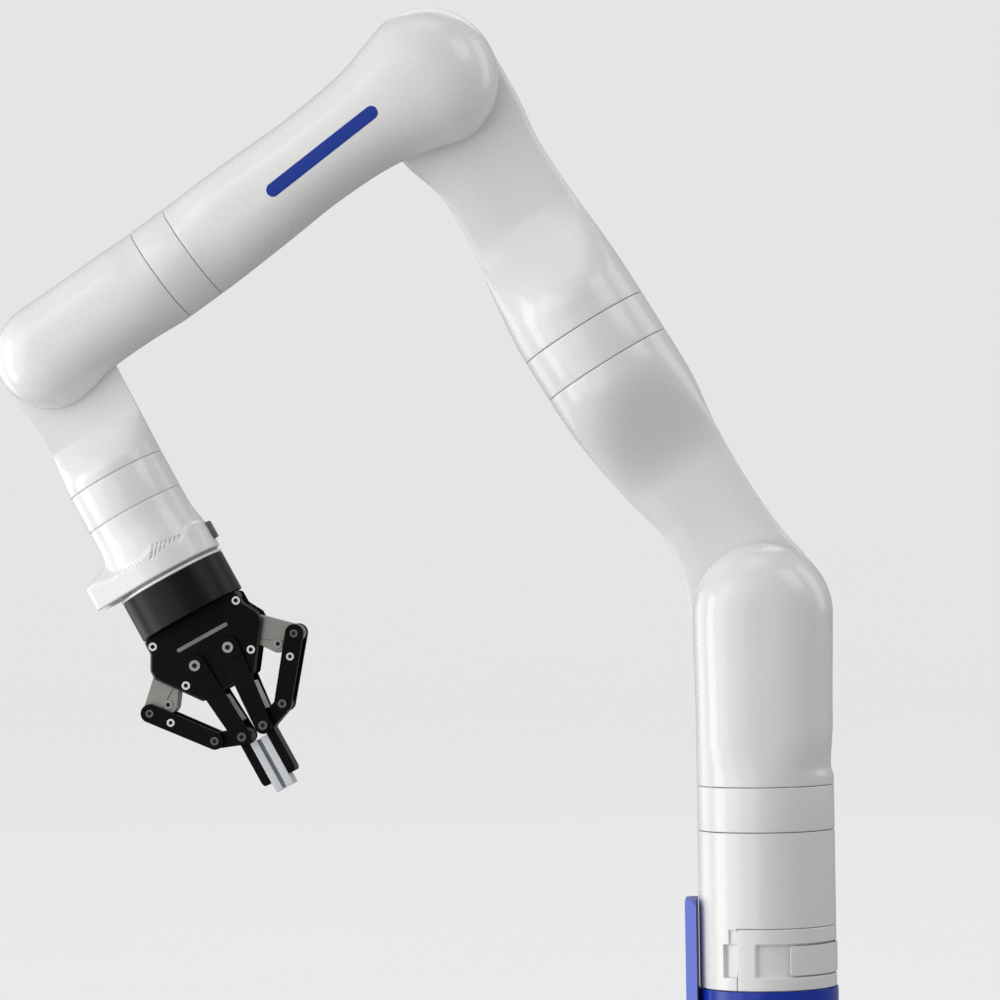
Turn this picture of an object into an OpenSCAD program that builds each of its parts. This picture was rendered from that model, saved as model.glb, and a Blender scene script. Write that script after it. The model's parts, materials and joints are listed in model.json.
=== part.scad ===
// Seven-joint collaborative robot arm with a two-finger parallel gripper.
// Origin: centre of the mounting face under the base. +Z up, the arm leans towards -X,
// every pitch joint turns about Y. Each link is drawn in its own frame, with the joint it
// starts from at the origin and its length along +Z, and then placed by its arm_* module.

/* [Reach] */
// Height of the shoulder pitch axis above the mounting face
shoulder_h = 284.8; // [275:0.1:295]
// Height of the middle of the base rotation ring
base_ring_h = 156.4; // [150:0.1:160]
// Shoulder axis to the middle of the upper-arm ring
half_arm = 210.38; // [205:0.01:216]
// Elbow axis to the middle of the forearm ring
forearm_len = 208.43; // [204:0.01:214]
// Wrist axis to the middle of either wrist ring
wrist_len = 105.93; // [102:0.01:110]
// Last ring to the end of the tool interface
interface_len = 61.5; // [60:0.1:64]
/* [Rest pose] */
// Lean of the upper arm
lean_arm = -31.2; // [-60:0.1:0]
// Direction of the forearm
lean_forearm = -124.8; // [-140:0.1:-90]
// Direction of the wrist and the gripper
lean_wrist = -208.1; // [-215:0.1:-170]
/* [Casings] */
// Radius of the base and arm casings at their rings
arm_r = 45.5; // [44:0.1:47]
// Radius of the forearm and wrist casings at their rings
wrist_r = 34.5; // [33:0.1:36]
// Width of a large ring cover
arm_band = 29.6; // [27:0.1:32]
// Width of a small ring cover
wrist_band = 26.8; // [25:0.1:28]
// Gap between two parts that turn on each other
gap = 0.4; // [0.3:0.05:0.6]
/* [Base] */
// Height of the blue mounting socket
socket_h = 37.5; // [34:0.5:40]
// Radius of the mounting flange
flange_r = 66; // [60:0.5:72]
// Radius of the flange's bolt circle
bolt_circle_r = 55; // [52:0.5:58]
// Clearance bore for an M8 bolt
bolt_bore = 8.5; // [8.4:0.1:9]
// Top of the clamp band
band_top = 78; // [72:0.5:82]
// Top of the blue cable guard
guard_top = 96; // [85:0.5:105]
/* [Gripper] */
// Radius of the gripper body
grip_r = 37.5; // [36:0.5:39]
// Length of a knuckle from pivot to pivot
knuckle_len = 57.1; // [56.5:0.1:57.5]
// Angle of the knuckles from the tool axis when the gripper is wide open
open_angle = 41.2; // [40:0.1:42]
// Turn of the knuckles from wide open to closed
knuckle_turn = 45.8; // [44:0.1:45.8]
// Width of a knuckle or finger bar
bar_w = 11.6; // [10:0.1:12]

/* [Hidden] */
$fn = 96;
facets = 30;                      // points round a casing section
face_wide = 3.6;                  // squareness of the flat face's edges
spigot = 4;                       // step in radius between a casing and the spigot inside it
seat = spigot - 0.1;              // the same step at the socket that takes the spigot
can = 8.4;                        // step in radius between a casing and the drive inside it
band_start = -25.3;               // angles of the clamp band round the base, 0 at the front
band_end = 142;
tab_start = -38.4;
tab_lo = 46.6;
tab_hi = 67.4;
notch_start = -33;                // finger notch above the tab
lever_start = 20;                 // angles of the clamp lever's plate
lever_end = 98.5;
hinge_a = 10;                     // hinge of the clamp lever
hinge_r = arm_r - 0.8;
panel_z = 86;                     // bottom of the connector panel's opening
button_z = 100;                   // height of the power button
plug_r = 3.2;                     // sockets in the connector panel
square_blend = 34;                // length over which a casing turns round towards its ring
white = [0.93, 0.93, 0.91];
blue = [0.1, 0.22, 0.75];
black = [0.08, 0.08, 0.08];
steel = [0.7, 0.7, 0.72];
split_y = 5.375;                  // plane where shoulder and upper arm meet
arm_y = 11.75;                    // upper-arm axis, behind the base axis
forearm_y = -1;                   // forearm axis
wrist_y = -0.65;                  // last wrist axis
wrist_split_y = -0.825;           // plane where the two wrist casings meet
arm_len = 2 * half_arm;
ring_lo = base_ring_h - arm_band / 2;
ring_hi = base_ring_h + arm_band / 2;
shoulder_ring_t = shoulder_h - ring_hi;
arm_dome = arm_r + 1;
elbow_dome = arm_r + 2;
wrist_dome = wrist_r + 1.7;
arm_ring_t = half_arm - arm_band / 2;
elbow_ring_t = forearm_len - wrist_band / 2;
wrist_ring_t = wrist_len - wrist_band / 2;
forearm_full = forearm_len + wrist_len;
grip_t = wrist_len + 63.6;        // wrist axis to the gripper's back face

// ---- frames of the links ----
module arm_upper() { translate([0, arm_y, shoulder_h]) rotate([0, lean_arm, 0]) children(); }
module arm_elbow() {
    translate([arm_len * sin(lean_arm), forearm_y, shoulder_h + arm_len * cos(lean_arm)]) children();
}
module arm_forearm() { arm_elbow() rotate([0, lean_forearm, 0]) children(); }
module arm_wrist() {
    arm_elbow()
        translate([forearm_full * sin(lean_forearm), wrist_y - forearm_y,
            forearm_full * cos(lean_forearm)])
        rotate([0, lean_wrist, 0]) children();
}
module arm_grip() { arm_wrist() translate([0, 0, grip_t]) children(); }

// ---- lofted casings ----
function smooth(x) = let (c = min(1, max(0, x))) c * c * (3 - 2 * c);
// Slope of a list of [t, value] stations at station i, level at both ends
function slope(list, i) =
    i == 0 || i == len(list) - 1 ? 0
    : (list[i + 1][1] - list[i - 1][1]) / (list[i + 1][0] - list[i - 1][0]);
// Value at t of a smooth curve through the stations
function along(list, t, i = 0) =
    t <= list[0][0] ? list[0][1]
    : i >= len(list) - 1 ? list[len(list) - 1][1]
    : t > list[i + 1][0] ? along(list, t, i + 1)
    : let (h = list[i + 1][0] - list[i][0], u = (t - list[i][0]) / h, v = 1 - u)
        list[i][1] * v * v * (1 + 2 * u) + list[i + 1][1] * u * u * (3 - 2 * u)
            + h * u * v * (v * slope(list, i) - u * slope(list, i + 1));
function power(v, e) = v < 0 ? -pow(-v, e) : pow(v, e);
// One rounded section: half widths right and left, depths back and front, and their squareness
function section(right, left, back, front, back_e, front_e, t) = [
    for (i = [0:facets - 1])
        let (a = 360 * (i + 0.5) / facets, c = cos(a), s = sin(a), e = s > 0 ? back_e : front_e)
        [power(c, 2 / e) * (c > 0 ? right : left), power(s, 2 / e) * (s > 0 ? back : front), t]
];
// Joins a list of equal sections into one closed solid
module skin(rings) {
    n = len(rings[0]);
    last = len(rings) - 1;
    polyhedron(
        points = [for (ring = rings) each ring],
        faces = concat(
            [[for (i = [0:n - 1]) i]],
            [for (k = [0:last - 1]) for (i = [0:n - 1]) let (j = (i + 1) % n)
                each [[k * n + i, (k + 1) * n + i, (k + 1) * n + j],
                    [k * n + i, (k + 1) * n + j, k * n + j]]],
            [[for (i = [n - 1:-1:0]) last * n + i]]),
        convexity = 6);
}
// One section of a casing at distance t from its joint. Its outer side is a rounded square that
// turns into a circle at the ring. Its face side is flat with rounded edges up to scoop[0] and
// swells to the same circle at scoop[1].
function casing_section(dome_r, ring_r, end, right, left, face_d, scoop, depth, square, behind, t) =
    let (
        arc = t < 0 ? sqrt(1 - pow(t / dome_r, 2)) : 1,
        swell = smooth((t - scoop[0]) / (scoop[1] - scoop[0])),
        face = face_d + (ring_r - face_d) * swell,
        wide = face_wide + (2 - face_wide) * swell,
        e = 2 + (square - 2) * smooth((end - t) / square_blend),
        full = depth + (ring_r - depth) * smooth(t / end))
    [for (i = [0:facets - 1])
        let (
            a = 360 * (i + 0.5) / facets, c = cos(a), s = sin(a),
            half = arc * (t < 0 ? dome_r : along(c > 0 ? right : left, t)),
            outer = behind ? s > 0 : s < 0,
            x = half * power(c, 2 / (outer ? e : wide)),
            y = !outer ? face * s
                : t >= 0 ? full * power(s, 2 / e)
                : sign(s) * depth * pow(1 - pow(min(1, norm([x, t]) / dome_r), e), 1 / e))
        [x, y, t]];
// A casing from the dome round its joint to its ring end
module casing(dome_r, ring_r, end, right, left, face_d, scoop, depth, square, behind = false) {
    steps = [for (k = [0:7]) -cos(4 + 86 * k / 8) * dome_r, for (k = [0:12]) end * k / 12];
    skin([for (t = steps)
        casing_section(dome_r, ring_r, end, right, left, face_d, scoop, depth, square, behind, t)]);
}
// A disc whose axis lies along Y
module disc(r, from, to) {
    translate([0, to, 0]) rotate([90, 0, 0]) cylinder(r = r, h = to - from);
}

// ---- base ----
module mount_socket() color(blue) difference() {
    union() {
        cylinder(r = flange_r, h = 10);
        cylinder(r = arm_r + 0.9, h = socket_h - 0.5);
    }
    translate([0, 0, -1]) cylinder(r = 34, h = socket_h + 2);
    translate([0, 0, 24]) cylinder(r = arm_r - 2.6, h = 20);
    for (a = [45:90:315]) rotate(a) {
        translate([bolt_circle_r, 0, -1]) cylinder(d = bolt_bore, h = 20);
        translate([bolt_circle_r, 0, 9]) cylinder(r = 7.5, h = 10);
    }
}
// Upright on the flange beside the casing, with slanted long edges and cut top corners
module cable_guard() color(blue) difference() {
    translate([0, 0, 10.1]) linear_extrude(guard_top - 10.1)
        polygon([[-54.4, -13], [-46.6, -21.5], [-46.6, 21.5], [-54.4, 13]]);
    cylinder(r = arm_r + 1, h = guard_top + 10);
    for (s = [-1, 1]) translate([-60, s * 22, guard_top]) rotate([0, 90, 0])
        cylinder(r = 5, h = 20, $fn = 4);
}
module base_shell() color(white) difference() {
    union() {
        translate([0, 0, socket_h]) cylinder(r = arm_r, h = ring_lo - gap - socket_h);
        translate([0, 0, 24.3]) cylinder(r = arm_r - seat, h = socket_h - 22);
    }
    translate([0, 0, 20]) cylinder(r = arm_r - 6, h = 140);
    band_wedge(band_start - 0.4, band_end + 0.4, arm_r - 3.5, arm_r + 1, socket_h - 1, band_top + 0.3);
    band_wedge(tab_start - 0.4, band_start + 5, arm_r - 3.3, arm_r + 1.2, tab_lo - 0.35, tab_hi + 0.35);
    band_wedge(notch_start, band_start + 3, arm_r - 1.6, arm_r + 1.1, tab_hi - 0.5, band_top - 0.6);
    rotate(90) translate([0, 0, button_z]) rotate([0, 90, 0]) cylinder(r = 8.3, h = 80);
    rotate(90) translate([20, -31, panel_z]) cube([60, 20, 28]);
}
// Piece of a ring between two angles from the front, two radii and two heights
module band_wedge(from, to, r_in, r_out, z0, z1) {
    translate([0, 0, z0]) rotate(from - 90) rotate_extrude(angle = to - from)
        translate([r_in, 0]) square([r_out - r_in, z1 - z0]);
}
// Band round the front and the right of the base, with a tab that hooks into the casing
module clamp_band() color(white) difference() {
    union() {
        band_wedge(band_start, band_end, arm_r - 3.3, arm_r, socket_h, band_top);
        band_wedge(tab_start, band_start + 1, arm_r - 3.1, arm_r, tab_lo, tab_hi);
    }
    band_wedge(-8.6, 101, arm_r - 1.2, arm_r + 2, 46.4, 67.6);
    rotate(hinge_a) translate([hinge_r, 0, 44]) cylinder(r = 2.05, h = 26);
}
module clamp_lever() color(white) difference() {
    union() {
        intersection() {
            band_wedge(lever_start, lever_end, arm_r - 1, arm_r + 0.3, 47.2, 66.8);
            rotate((lever_start + lever_end) / 2 - 90) rotate([90, 0, 90]) linear_extrude(arm_r + 5)
                polygon(rounded([[-29.6, 47], [29.6, 47], [29.6, 67], [-29.6, 67]], 3.4));
        }
        rotate(hinge_a) translate([hinge_r, 0, 47.4]) rotate(140) cylinder(r = 1.9, h = 19.2);
    }
    rotate(hinge_a) translate([hinge_r, 0, 40]) rotate(140) cylinder(r = 0.85, h = 40);
}
module lever_pin() color(steel) rotate(hinge_a) translate([hinge_r, 0, 44.1])
    cylinder(r = 0.75, h = 25.8);
module connector_panel() color(black) rotate(90) difference() {
    intersection() {
        translate([34, -30.6, panel_z + 0.4]) cube([14, 19.2, 27.2]);
        cylinder(r = arm_r - 0.4, h = 200);
    }
    for (z = [7, 20]) translate([30, -21, panel_z + z]) rotate([0, 90, 0])
        cylinder(r = plug_r, h = 30);
}
module power_button() color(steel) rotate(90) translate([arm_r - 9, 0, button_z]) rotate([0, 90, 0]) {
    cylinder(r = 8, h = 9.4);
    translate([0, 0, -4]) cylinder(r = 10, h = 2.6);
}
module controller_board() color("darkgreen") {
    translate([-30, -17, 60]) cube([60, 34, 1.8]);
    translate([-14, -10, 61.8]) cube([22, 20, 3]);
    translate([12, -12, 61.8]) cube([9, 24, 6]);
}
// Joint drive: outer can with a stepped output hub
module drive(can_r, can_h, hub_r, hub_h) {
    difference() {
        union() {
            cylinder(r = can_r, h = can_h);
            translate([0, 0, can_h]) cylinder(r = hub_r, h = hub_h);
        }
        translate([0, 0, -1]) cylinder(r = 7, h = can_h + hub_h + 2);
    }
}
module base_actuator() color(steel) translate([0, 0, ring_lo - 50]) drive(arm_r - 15.5, 49, 20, 0.6);

// ---- shoulder ----
module shoulder_ring() color(white) translate([0, 0, ring_lo]) difference() {
    union() {
        cylinder(r = arm_r, h = arm_band - 0.5);
        cylinder(r = arm_r - spigot, h = arm_band + 4);
    }
    translate([0, 0, 4]) cylinder(r = arm_r - 8, h = arm_band + 8);
    translate([0, 0, -1]) cylinder(r = 14, h = 8);
}
shoulder_side = [[0, arm_dome], [60, arm_r], [shoulder_ring_t, arm_r]];
module shoulder_shell() color(white) translate([0, 0, shoulder_h]) difference() {
    rotate([0, 180, 0])
        casing(arm_dome, arm_r, shoulder_ring_t, shoulder_side, shoulder_side, split_y - gap / 2,
            [shoulder_ring_t - 33, shoulder_ring_t - 3], arm_r, 3.2);
    translate([0, 0, -shoulder_ring_t - 1]) cylinder(r = arm_r - seat, h = 7);
    translate([0, -22, -shoulder_ring_t + 5]) cylinder(r = 14, h = 60);
    disc(arm_r - 8, -arm_r + 12, split_y + 1);
}
module shoulder_actuator() color(steel) translate([0, -arm_r + 13, shoulder_h]) rotate([-90, 0, 0])
    drive(arm_r - can, arm_r - 13 + split_y - 1.2, 20, 0.8);

// ---- upper arm ----
lower_right = [[0, arm_dome], [20, 44.2], [45, 40], [85, 38.6], [125, 40.3], [160, 44.8],
    [arm_ring_t, arm_r]];
lower_left = [[0, arm_dome], [18, 44], [45, 34.5], [78, 29.6], [110, 36.5], [160, 44],
    [arm_ring_t, arm_r]];
upper_right = [[0, arm_dome], [40, 45], [70, 41.2], [110, 41.8], [155, 44.6], [arm_ring_t, arm_r]];
upper_left = [[0, arm_dome], [38, 43.6], [70, 34.6], [105, 35], [150, 41.5], [arm_ring_t, arm_r]];
module upper_arm_lower_shell() color(white) arm_upper() difference() {
    casing(arm_dome, arm_r, arm_ring_t, lower_right, lower_left, arm_y - split_y - gap / 2,
        [101, 186], arm_r, 3.2, behind = true);
    translate([0, 0, arm_ring_t - 34]) cylinder(r = arm_r - 9.5, h = 40);
    translate([0, 0, arm_ring_t - 6]) cylinder(r = arm_r - seat, h = 10);
    disc(arm_r - 10, split_y - arm_y - 1, arm_r - 12);
}
module shoulder_flange() color(steel) translate([0, 0, shoulder_h]) difference() {
    disc(arm_r - 10.4, split_y + 0.4, split_y + 22);
    disc(8, split_y - 1, split_y + 30);
    for (a = [0:45:315]) rotate([0, a, 0]) translate([27, 0, 0]) disc(2.2, split_y + 14, split_y + 30);
}
module upper_arm_actuator() color(steel) arm_upper() translate([0, 0, arm_ring_t - 33])
    drive(arm_r - 10, 32, 18, 0.6);
module upper_arm_ring() color(white) arm_upper() translate([0, 0, arm_ring_t + gap]) difference() {
    union() {
        cylinder(r = arm_r, h = arm_band - gap - 0.5);
        cylinder(r = arm_r - spigot, h = arm_band + 4);
    }
    translate([0, 0, 4]) cylinder(r = arm_r - 8, h = arm_band + 8);
    translate([0, 0, -1]) cylinder(r = 14, h = 8);
}
module upper_arm_upper_shell() color(white) arm_upper() translate([0, 0, arm_len]) difference() {
    rotate([0, 180, 0])
        casing(arm_dome, arm_r, arm_ring_t, upper_left, upper_right, arm_y - split_y - gap / 2,
            [112, 176], arm_r, 3.2, behind = true);
    translate([0, 0, -arm_ring_t - 1]) cylinder(r = arm_r - seat, h = 7);
    translate([0, 0, -arm_ring_t + 5]) cylinder(r = arm_r - 9.5, h = 30);
    disc(arm_r - 10, split_y - arm_y - 1, arm_r - 12);
}
module elbow_flange() color(steel) arm_elbow() translate([0, split_y - forearm_y, 0]) difference() {
    disc(arm_r - 10.4, 0.4, 22);
    disc(8, -1, 30);
    for (a = [0:45:315]) rotate([0, a, 0]) translate([27, 0, 0]) disc(2.2, 14, 30);
}

// ---- forearm ----
forearm_high = [[0, elbow_dome], [18, 43.8], [45, 37.2], [95, 33.9], [140, 34.6],
    [elbow_ring_t, wrist_r]];
forearm_low = [[0, elbow_dome], [15, 43.2], [50, 33.5], [95, 31], [140, 33],
    [elbow_ring_t, wrist_r]];
module forearm_shell() color(white) arm_forearm() difference() {
    casing(elbow_dome, wrist_r, elbow_ring_t, forearm_high, forearm_low, split_y - forearm_y - gap / 2,
        [134, 188], arm_r, 3.2);
    translate([0, 0, elbow_ring_t - 40]) cylinder(r = wrist_r - 9, h = 42);
    translate([0, 0, elbow_ring_t - 6]) cylinder(r = wrist_r - seat, h = 10);
    disc(arm_r - 8, -arm_r + 13, split_y - forearm_y + 1);
}
module elbow_actuator() color(steel) arm_elbow() translate([0, -arm_r + 14, 0])
    rotate([-90, 0, 0]) drive(arm_r - can, arm_r - 14 + split_y - forearm_y - 1.2, 20, 0.8);
module forearm_actuator() color(steel) arm_forearm() translate([0, 0, elbow_ring_t - 39])
    drive(wrist_r - 9.4, 38, 14, 0.6);
module small_ring(start) {
    translate([0, 0, start + gap]) difference() {
        union() {
            cylinder(r = wrist_r, h = wrist_band - gap - 0.5);
            cylinder(r = wrist_r - spigot, h = wrist_band + 4);
        }
        translate([0, 0, 4]) cylinder(r = wrist_r - 7, h = wrist_band + 8);
        translate([0, 0, -1]) cylinder(r = 10, h = 8);
    }
}
module wrist_1_ring() color(white) arm_forearm() small_ring(elbow_ring_t);

// ---- wrist ----
wrist_high = [[0, wrist_dome], [22, wrist_dome - 0.6], [wrist_ring_t, wrist_r]];
wrist_low = [[0, wrist_dome], [30, wrist_r - 2.4], [62, wrist_r - 2], [wrist_ring_t, wrist_r]];
wrist_2_out = [[0, wrist_dome], [14, wrist_dome - 1], [52, 31], [wrist_ring_t, wrist_r]];
wrist_2_in = [[0, wrist_dome], [40, wrist_r + 0.6], [wrist_ring_t, wrist_r]];
module wrist_1_shell() color(white) arm_forearm() translate([0, 0, forearm_full]) difference() {
    rotate([0, 180, 0])
        casing(wrist_dome, wrist_r, wrist_ring_t, wrist_low, wrist_high,
            wrist_split_y - forearm_y - gap / 2, [60, 90], wrist_r, 3);
    translate([0, 0, -wrist_ring_t - 1]) cylinder(r = wrist_r - seat, h = 7);
    translate([0, -14, -wrist_ring_t + 5]) cylinder(r = 9, h = 50);
    disc(wrist_r - 8, -wrist_r + 9, wrist_split_y - forearm_y + 1);
}
module wrist_1_actuator() color(steel) arm_forearm() translate([0, -wrist_r + 10, forearm_full])
    rotate([-90, 0, 0]) drive(wrist_r - can, wrist_r - 10 + wrist_split_y - forearm_y - 1.2, 14, 0.8);
module wrist_2_shell() color(white) arm_wrist() difference() {
    casing(wrist_dome, wrist_r, wrist_ring_t, wrist_2_out, wrist_2_in,
        wrist_y - wrist_split_y - gap / 2, [58, 88], wrist_r, 3, behind = true);
    translate([0, 0, wrist_ring_t - 12]) cylinder(r = wrist_r - 9, h = 30);
    translate([0, 0, wrist_ring_t - 6]) cylinder(r = wrist_r - seat, h = 10);
    disc(wrist_r - 8, wrist_split_y - wrist_y - 1, wrist_r - 8);
}
module wrist_2_flange() color(steel) arm_wrist() translate([0, wrist_split_y - wrist_y, 0])
    difference() {
        disc(wrist_r - can, 0.4, 16);
        disc(6, -1, 30);
        for (a = [0:60:300]) rotate([0, a, 0]) translate([19, 0, 0]) disc(1.7, 9, 30);
    }
module wrist_2_actuator() color(steel) arm_wrist() translate([0, 0, wrist_ring_t - 11.6])
    drive(wrist_r - 9.4, 11, 12, 0.5);

// ---- tool interface ----
module wrist_3_ring() color(white) arm_wrist() small_ring(wrist_ring_t);
iface_t = wrist_ring_t + wrist_band;
bump_top = 47.6;                  // end of the camera bump
rim_t = 51.9;                     // end of the rim that the gripper stands on
lens_x = 41.4;                    // centres of the camera's two lenses
lens_y = [-7, 7];
button_half = 5;
button_t = 30.4;
module interface_shell() color(white) arm_wrist() translate([0, 0, iface_t]) difference() {
    union() {
        skin([for (k = [0:12]) let (h = k / 12, z = 48 * h,
                hood = smooth((z - 12) / 26), r = wrist_r + 3.6 * hood)
            section(r + 1.2 * hood, r + 1.2 * hood, r, r + 2.4 * hood, 2, 2 + 0.6 * hood, z)]);
        translate([10, -18, 26]) cube([42, 36, bump_top - 26]);
        translate([0, 0, 44]) cylinder(r = grip_r - 1.6, h = rim_t - 44);
        translate([0, 0, rim_t - 1.8]) cylinder(r = grip_r + 0.3, h = 1.8);
    }
    translate([0, 0, 4]) cylinder(r = wrist_r - 3.4, h = 60);
    translate([0, 0, 47.8]) cylinder(r = wrist_r - 2.6, h = 10);
    translate([0, 0, -1]) cylinder(r = wrist_r - seat, h = 7);
    translate([31.2, -15, 30]) cube([18, 30, 20]);
    translate([-50, -button_half - 0.2, button_t - 0.2]) cube([22, 2 * button_half + 0.4, 12.4]);
    for (k = [0:8]) translate([-17 + 4 * k, -44, 25 - 0.2 * k * k + 1.2 * k])
        cube([1.4, 12, 7]);
}
module camera_housing() color(white) arm_wrist() translate([31.6, -14.7, iface_t + 30.3]) difference() {
    cube([17.2, 29.4, bump_top - 31]);
    for (y = lens_y) translate([lens_x - 31.6, 14.7 + y, 9]) cylinder(r = 4.2, h = 10);
}
module camera_lenses() color(black) arm_wrist() translate([lens_x, 0, iface_t + 39.4])
    for (y = lens_y) translate([0, y, 0]) cylinder(r = 4, h = 6.6);
module interface_board() color("darkgreen") arm_wrist() translate([0, 0, iface_t + 12]) {
    cylinder(r = wrist_r - 7, h = 1.6);
    translate([-10, -8, 1.6]) cube([18, 16, 4]);
}
module tool_button() color([0.3, 0.3, 0.32]) arm_wrist()
    translate([-wrist_r - 6.1, -button_half, iface_t + button_t]) cube([7.5, 2 * button_half, 12]);
module tool_coupling() color([0.5, 0.5, 0.5]) arm_wrist() translate([0, 0, wrist_len + interface_len])
    difference() {
        union() {
            cylinder(r = 31.5, h = 3.8);
            translate([0, 0, -7]) cylinder(r = wrist_r - 3.6, h = 7);
        }
        translate([0, 0, -8]) cylinder(r = 14, h = 14);
        for (a = [45:90:315]) rotate(a) translate([25, 0, -8]) cylinder(d = 6.6, h = 14);
    }

// ---- gripper: +X is the left finger's side, +Z runs from the back face to the finger tips ----
inner_x = 12.7;                          // inner pivot
inner_z = 61.4;
outer_x = 30.6;                          // outer pivot
outer_z = 54.9;
elbow_x = 26.4;                          // knuckle's second pivot, in the knuckle's own frame
elbow_z = 17.6;
rest_angle = open_angle - knuckle_turn;
pivot_r = 2.5;
fit = 0.06;                              // radial clearance of a running pivot
loose = 0.35;                            // radial clearance of the pivot left open
tip_z = 161.7;
cover_screws = [[32, 36.5], [25, 70]];   // on each side of the tool axis
knuckle_corner = [13.3, 19.4];
finger_screws = [[elbow_x, elbow_z], [elbow_x - 8.6, elbow_z + 13]];
yoke_y = 12;                             // half thickness of the yoke
cover_y = 14.8;
bar_y = 18.4;                            // outer face of the inner knuckles
tip_x = inner_x + knuckle_len * sin(rest_angle);   // inner finger pin at rest
tip_pin_z = inner_z + knuckle_len * cos(rest_angle);
lug_x = outer_x + knuckle_len * sin(rest_angle);   // outer finger pin at rest
lug_z = outer_z + knuckle_len * cos(rest_angle);

// Outline with each corner turned into an arc of radius r, 6 points to an arc
function rounded(p, r) = [for (i = [0:len(p) - 1])
    let (
        a = p[(i + len(p) - 1) % len(p)] - p[i], b = p[(i + 1) % len(p)] - p[i],
        ua = a / norm(a), ub = b / norm(b), half = acos(ua * ub) / 2,
        centre = p[i] + (ua + ub) / norm(ua + ub) * r / sin(half),
        from = p[i] + ua * r / tan(half) - centre, to = p[i] + ub * r / tan(half) - centre)
    for (k = [0:5]) let (v = from * (1 - k / 5) + to * k / 5) centre + v * r / norm(v)];
module plate(from, to, inset = 0) {
    right = [[36 - inset, 30.2], [36 - inset, 40], [41.6 - inset, 50], [41.6 - inset, 56],
        [20 - inset, 85 - inset]];
    left = [for (i = [len(right) - 1:-1:0]) [-right[i][0], right[i][1]]];
    translate([0, to, 0]) rotate([90, 0, 0]) linear_extrude(to - from)
        polygon(rounded(concat(right, left), 3));
}
// Bar with round ends from a to b, each [x, z], lying between two y planes
module bar(a, b, r_a, r_b, from, to) {
    translate([0, to, 0]) rotate([90, 0, 0]) linear_extrude(to - from) {
        translate(a) circle(r_a);
        translate(b) circle(r_b);
        d = [b[0] - a[0], b[1] - a[1]];
        n = [-d[1], d[0]] / norm(d);
        polygon([a + n * (r_a - 0.03), b + n * (r_b - 0.03), b - n * (r_b - 0.03), a - n * (r_a - 0.03)]);
    }
}
module pin_at(x, z, r, from, to) { translate([x, 0, z]) disc(r, from, to); }
// Pair of screw heads whose outer faces stand out of the planes at +-y by proud
module screw_at(x, z, y, proud = 1.8) {
    for (s = [-1, 1]) difference() {
        translate([x, s * (y + proud - 0.9), z]) disc(2.9, -0.9, 0.9);
        translate([x, s * (y + proud), z]) rotate([90, 0, 0])
            cylinder(r = 1.5, h = 2.4, center = true, $fn = 6);
    }
}
module gripper_body() color(black) arm_grip() difference() {
    union() {
        translate([0, 0, 2.1]) cylinder(r = grip_r, h = 27.9);
        translate([-30, 1.5 - yoke_y, 25]) cube([60, 2 * yoke_y - 3, 8]);
        plate(-yoke_y, yoke_y, 1.2);
    }
    translate([0, 0, 4]) cylinder(r = 15, h = 22.5);
    translate([0, 0, 20]) cylinder(r = 6, h = 16);
    translate([-50, -yoke_y + 1.8, 35]) cube([100, 2 * yoke_y - 3.6, 60]);
    for (s = [-1, 1]) {
        pin_at(s * outer_x, outer_z, pivot_r + 0.02, -20, 20);
        for (p = cover_screws) pin_at(s * p[0], p[1], 1.52, -20, 20);
    }
    for (a = [45:90:315]) rotate(a) translate([25, 0, -1]) cylinder(d = 5.2, h = 12);
}
module gripper_cover(side) {
    difference() {
        plate(min(side * (yoke_y + 0.1), side * cover_y), max(side * (yoke_y + 0.1), side * cover_y));
        for (s = [-1, 1]) {
            pin_at(s * outer_x, outer_z, pivot_r + 0.02, -13.4, 13.4);
            for (p = cover_screws) {
                pin_at(s * p[0], p[1], 1.52, -20, 20);
                pin_at(s * p[0], p[1], 2.95, side > 0 ? cover_y - 1.8 : -20, side > 0 ? 20 : 1.8 - cover_y);
            }
            pin_at(s * inner_x, inner_z, pivot_r + 0.02, -20, 20);
        }
    }
}
module gripper_cover_front() color(black) arm_grip() gripper_cover(-1);
module gripper_cover_rear() color(black) arm_grip() gripper_cover(1);
module gripper_screws() color(steel) arm_grip() for (s = [-1, 1]) for (p = cover_screws) {
    screw_at(s * p[0], p[1], cover_y, 0);
    for (y = [-1, 1])
        pin_at(s * p[0], p[1], 1.5, y > 0 ? 11 : 1.5 - cover_y, y > 0 ? cover_y - 1.5 : -11);
}
module gripper_motor() color(steel) arm_grip() translate([0, 0, 4.1]) {
    cylinder(r = 14, h = 15);
    cylinder(r = 11, h = 21);
}
module drive_shaft() color(steel) arm_grip() translate([0, 0, 25.2]) {
    cylinder(r = 3, h = 44);
    for (k = [0:6]) translate([0, 0, 22 + 2.4 * k]) cylinder(r = 4.6, h = 1.2);
}
// Round head with a hexagon socket, outside the planes y = +-from
module heads_at(x, z, r, from, height) {
    for (s = [-1, 1]) difference() {
        pin_at(x, z, r, min(s * from, s * (from + height)), max(s * from, s * (from + height)));
        translate([x, s * (from + height), z]) rotate([90, 0, 0])
            cylinder(r = r * 0.5, h = height, center = true, $fn = 6);
    }
}
// Outer pivot pins through the yoke and the four inner pivot stubs on the covers
module gripper_pivots() color(steel) arm_grip() for (s = [-1, 1]) {
    pin_at(s * outer_x, outer_z, pivot_r, -yoke_y - 1.2, yoke_y + 1.2);
    for (y = [-1, 1])
        pin_at(s * inner_x, inner_z, pivot_r, min(y * 12.4, y * (bar_y + 0.2)),
            max(y * 12.4, y * (bar_y + 0.2)));
    heads_at(s * inner_x, inner_z, 3.7, bar_y + 0.1, 1.5);
}
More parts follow.
